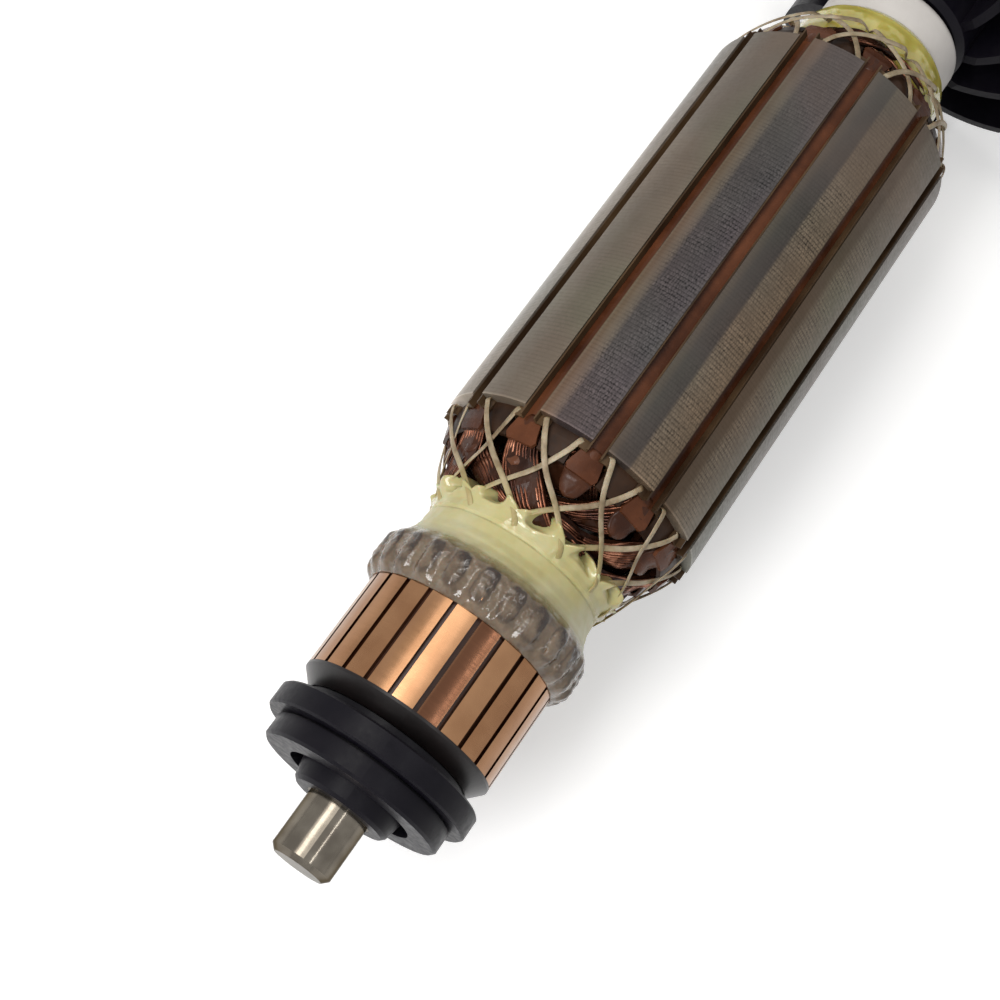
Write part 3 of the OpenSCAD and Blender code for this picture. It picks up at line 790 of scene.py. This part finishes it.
def cord_path(slot, side, face):
    """Out of the core, over the winding and into the resin; one side's cords lie under the other's."""
    height = end_height(face)
    path = []
    for i, (turn, h) in enumerate(curve_through(ROUTE, CORD_STEPS)):
        h *= height / ROUTE_HEIGHT
        turn += 0.5 * noise.noise(Vector((slot * 3.7, side * 2.0 + face, i * 0.09)))
        out_of_core = 1.2 * smooth(1 - i / 5)
        r = dome_r(h, height) - (0.30 if side > 0 else 0.78) - out_of_core
        if face > 0:
            into_resin = 3.4 * smooth((i - 34) / 12)
            r -= into_resin
        else:
            towards_coils = 1.2 * math.sin(math.pi * min(1, max(0, h) / height) ** 1.3)
            r -= towards_coils
        path.append(over_core(face, h, r, slot * SLOT_PITCH + side * turn))
    return path


cords = Tubes(12)
for face in (-1, 1):
    for side in (-1, 1):
        for slot in range(SLOTS):
            cords.add(cord_path(slot, side, face), CORD_HALF_W, CORD_HALF_T)
lacing = piece("lacing_cords", cords.points, cords.faces, cord(), "lacing_cord")
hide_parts("lacing")

# ---------------------------------------------------------------- cast resin

# Radius at which the lumps' noise is read, in millimetres
LUMP_R = 14
# The neck's profile, as (station, radius): over the risers, down to the waist and up to the winding
NECK = [
    (RISER_X0, TRACK_R + 0.1),
    (RISER_X0 + 0.7, mix(TRACK_R, RISER_R, 0.42)),
    (RISER_X0 + 1.6, mix(TRACK_R, RISER_R, 0.68)),
    (RISER_X0 + 2.7, mix(TRACK_R, RISER_R, 0.88)),
    (RISER_X0 + 4.1, RISER_R),
    (RISER_X0 + 5.1, RISER_R),
    (RISER_X0 + 5.9, mix(WAIST_R, RISER_R, 0.93)),
    (COMM_X1, mix(WAIST_R, RISER_R, 0.68)),
    (mix(COMM_X1, NECK_X1, 0.12), mix(WAIST_R, RISER_R, 0.45)),
    (mix(COMM_X1, NECK_X1, 0.30), mix(WAIST_R, RISER_R, 0.22)),
    (mix(COMM_X1, NECK_X1, 0.50), mix(WAIST_R, RISER_R, 0.06)),
    (mix(COMM_X1, NECK_X1, 0.75), WAIST_R),
    (NECK_X1 - 0.6, WAIST_R + 0.15),
    (NECK_X1 + 0.4, WAIST_R + 0.85),
    (NECK_X1 + 1.4, WAIST_R + 1.85),
    (NECK_X1 + 2.4, WAIST_R + 2.75),
    (NECK_X1 + 4.4, WAIST_R + 3.7),
]
# The rear ring's profile, over the collar
RING = [
    (RING_X0 - 1.6, RING_R - 0.4),
    (RING_X0 - 0.4, RING_R + 0.1),
    (RING_X0 + 0.8, RING_R),
    (RING_X0 + 2.6, RING_R - 0.15),
    (RING_X0 + 4.0, RING_R - 0.5),
    (RING_X1 - 0.2, RING_R - 1.1),
    (RING_X1 + 0.2, COLLAR_R + 0.06),
]


def sleeve_shape(name, radius, x0, x1, rows, columns, inner, material, slot):
    """Closed ring: an outer skin of the given radius over (x, angle), and a plain bore."""
    points, faces = [], []
    for i in range(rows + 1):
        x = mix(x0, x1, i / rows)
        for j in range(columns):
            angle = 360 * j / columns
            points.append(at(x, radius(x, angle), angle))
    for x in (x1, x0):
        points += [at(x, inner(x), 360 * j / columns) for j in range(columns)]
    rings = [i * columns for i in range(rows + 3)] + [0]
    for a, b in zip(rings, rings[1:]):
        for j in range(columns):
            k = (j + 1) % columns
            faces.append((a + j, a + k, b + k, b + j))
    return piece(name, points, faces, material, slot)


def hook_mask(x, angle):
    """1 on a hook, 0 between hooks, with rounded sides; each is a little different."""
    k = round((angle - BAR_TURN) / BAR_PITCH - 0.5) + 0.5
    shift = noise.noise(Vector((k * 5.3, 1.7, 0)))
    stretch = noise.noise(Vector((k * 3.1, 8.2, 0)))
    off = math.radians(angle - BAR_TURN - k * BAR_PITCH) * RISER_R + 0.3 * shift
    dx = (x - HOOK_X0 - HOOK_LEN / 2) / (HOOK_LEN / 2 + 0.45 + 0.3 * stretch)
    return math.exp(-(abs(dx) ** 4) - abs(off / (1.3 + 0.2 * stretch)) ** 4)


def cord_nearness(x, angle):
    """1 on the line of a lacing cord, falling to 0 a cord's width beside it."""
    h = CORE_X0 - x
    for (turn0, h0), (turn1, h1) in zip(ROUTE, ROUTE[1:]):
        if h <= h1:
            break
    turn = mix(turn0, turn1, min(1, (h - h0) / (h1 - h0)))
    half = SLOT_PITCH / 2
    off = min(abs((angle - side * turn + half) % SLOT_PITCH - half) for side in (-1, 1))
    return math.exp(-((math.radians(off) * interpolate(NECK, x) / 0.95) ** 2))


def neck_radius(x, angle):
    """Profile with soft lumps, a skirt that drips along the cords, and a lump over each hook."""
    p = at(x, LUMP_R, angle) / MM
    lump = noise.noise(p * 0.22) * 0.16 + noise.noise(p * 0.7) * 0.06
    r = interpolate(NECK, x) + lump * smooth((x - RISER_X0) / 2)
    if x > NECK_X1 - 2:
        near = cord_nearness(x, angle)
        skirt = NECK_X1 + 0.1 + 1.1 * near + 0.9 * noise.noise(p * 0.3)
        r = min(r, dome_r(CORE_X0 - x, FRONT_H) + 0.1) + 0.12 * near - 1.8 * max(0, x - skirt) ** 1.3
    crumple = 0.22 * noise.noise(p * 1.3) * smooth((COMM_X1 + 0.5 - x) / 2) * smooth((x - RISER_X0) / 1.5)
    over_hook = max(r, HOOK_TOP + 0.25) + 0.7 * max(crumple, -0.05)
    return max(mix(r + crumple, over_hook, hook_mask(x, angle)), SLEEVE_R + 0.7)


def ring_radius(x, angle):
    p = at(x, LUMP_R, angle) / MM
    lump = noise.noise(p * 0.3) * 0.22 + noise.noise(p * 0.8) * 0.08
    return min(interpolate(RING, x) + lump * smooth((RING_X1 - x) / 1.5), RING_R + 0.4)


def neck_bore(x):
    return TRACK_R + 0.01 if x < COMM_X1 else SLEEVE_R + 0.5


def ring_bore(x):
    return COLLAR_R - 0.05 if x > RING_X0 else SLEEVE_R + 0.5


cream_stops = [(0.3, (0.42, 0.37, 0.14)), (0.55, (0.50, 0.455, 0.22)), (0.8, (0.56, 0.53, 0.33))]
cream = resin("cream_resin", cream_stops, 0.12, Subsurface_Weight=0.25, Specular_IOR_Level=0.5)
riser_colours(cream)
neck = sleeve_shape(
    "neck_resin_cast",
    neck_radius,
    x0=RISER_X0,
    x1=NECK_X1 + 4.2,
    rows=120,
    columns=480,
    inner=neck_bore,
    material=cream.material,
    slot="cream_resin",
)
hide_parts("neck_resin")

yellow_stops = [(0.3, (0.42, 0.35, 0.06)), (0.6, (0.56, 0.49, 0.12)), (0.8, (0.64, 0.58, 0.24))]
yellow = resin("yellow_resin", yellow_stops, 0.16, Subsurface_Weight=0.2, Coat_Weight=0.5)
rear = sleeve_shape(
    "rear_resin_cast",
    ring_radius,
    x0=RING_X0 - 1.6,
    x1=RING_X1 + 0.2,
    rows=40,
    columns=240,
    inner=ring_bore,
    material=yellow.material,
    slot="yellow_resin",
)
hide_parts("rear_resin")

# ---------------------------------------------------------------- floor, light and camera

FLOOR_GLOW = 0.42
FLOOR_Z = -FAN_R - 0.2
FLOOR_REACH = 1500
ROOM_LIGHT = 0.2
WARM = (1.0, 0.97, 0.93)


def seen_directly(tree):
    """1 where the camera, metal or glass looks at the background, 0 where it lights the object."""
    ray = tree.nodes.new("ShaderNodeLightPath")
    seen = ray.outputs["Is Camera Ray"]
    for name in ("Is Glossy Ray", "Is Transmission Ray"):
        either = tree.nodes.new("ShaderNodeMath")
        either.operation = "MAXIMUM"
        tree.links.new(seen, either.inputs[0])
        tree.links.new(ray.outputs[name], either.inputs[1])
        seen = either.outputs[0]
    return seen


def pale_floor():
    """Pale paper: white where it is seen, but for the object's shadow."""
    s = Surface("pale_floor", Roughness=0.9)
    s.set(Base_Color=rgb(0.85, 0.85, 0.85), Emission_Color=rgb(1, 1, 1))
    s.set(Emission_Strength=s.times(seen_directly(s.tree), FLOOR_GLOW))
    return s.material


def lay_floor():
    corners = ((-1, -1), (1, -1), (1, 1), (-1, 1))
    mesh = bpy.data.meshes.new("floor")
    points = [(x * FLOOR_REACH * MM, y * FLOOR_REACH * MM, FLOOR_Z * MM) for x, y in corners]
    mesh.from_pydata(points, [], [(0, 1, 2, 3)])
    mesh.materials.append(pale_floor())
    floor = bpy.data.objects.new("floor", mesh)
    bpy.context.scene.collection.objects.link(floor)


def studio_world(light):
    """Even white surroundings that light the object at the given level and look white."""
    world = bpy.data.worlds.new("studio")
    bpy.context.scene.world = world
    world.use_nodes = True
    tree = world.node_tree
    level = tree.nodes.new("ShaderNodeMapRange")
    level.inputs["To Min"].default_value = light
    level.inputs["To Max"].default_value = 1.0
    tree.links.new(seen_directly(tree), level.inputs["Value"])
    tree.nodes["Background"].inputs["Color"].default_value = rgb(1, 1, 1)
    tree.links.new(level.outputs[0], tree.nodes["Background"].inputs["Strength"])


def turned(place, right, up, back):
    return Matrix.Translation(place) @ Matrix((right, up, back)).transposed().to_4x4()


def lamp(name, angle, x, aim, distance, length, width, radiance, colour=(1, 1, 1)):
    """Soft rectangle at station x, at an angle from +Z towards -Y, facing station aim; in millimetres."""
    data = bpy.data.lights.new(name, "AREA")
    data.shape = "RECTANGLE"
    data.size, data.size_y = length * MM, width * MM
    data.energy = math.pi * data.size * data.size_y * radiance
    data.color = colour
    made = bpy.data.objects.new(name, data)
    bpy.context.scene.collection.objects.link(made)
    place = at(x, distance, angle)
    back = (place - Vector((aim * MM, 0, 0))).normalized()
    across = back.cross(Vector((1, 0, 0))).normalized()
    made.matrix_world = turned(place, across.cross(back), across, back)


def photo_camera():
    """Camera at the photograph's angle, which is rolled half a degree about the shaft's axis."""
    data = bpy.data.cameras.new("camera")
    data.lens, data.sensor_width = 60.08, 36
    data.clip_start, data.clip_end = 0.01, 10
    made = bpy.data.objects.new("camera", data)
    bpy.context.scene.collection.objects.link(made)
    right, up = Vector((0.55631, -0.81267, 0.17347)), Vector((0.75993, 0.58200, 0.28945))
    aim = turned((-0.0263, 0, 0.2172), right, up, right.cross(up))
    made.matrix_world = Matrix.Rotation(math.radians(-0.5), 4, "X") @ aim
    return made


lay_floor()
studio_world(ROOM_LIGHT)
lamp("key", -20, 60, 60, 450, 420, 270, 1.95, WARM)
lamp("front", -23, 58, 58, 440, 90, 110, 6.0, WARM)
lamp("strip", 26, 60, 60, 450, 420, 20, 9.0)
lamp("glint", -24, -350, 45, 450, 300, 200, 12.0)
lamp("side", -110, 80, 80, 600, 500, 300, 1.8)
bpy.context.scene.camera = photo_camera()
bpy.context.scene.view_settings.view_transform = "Standard"
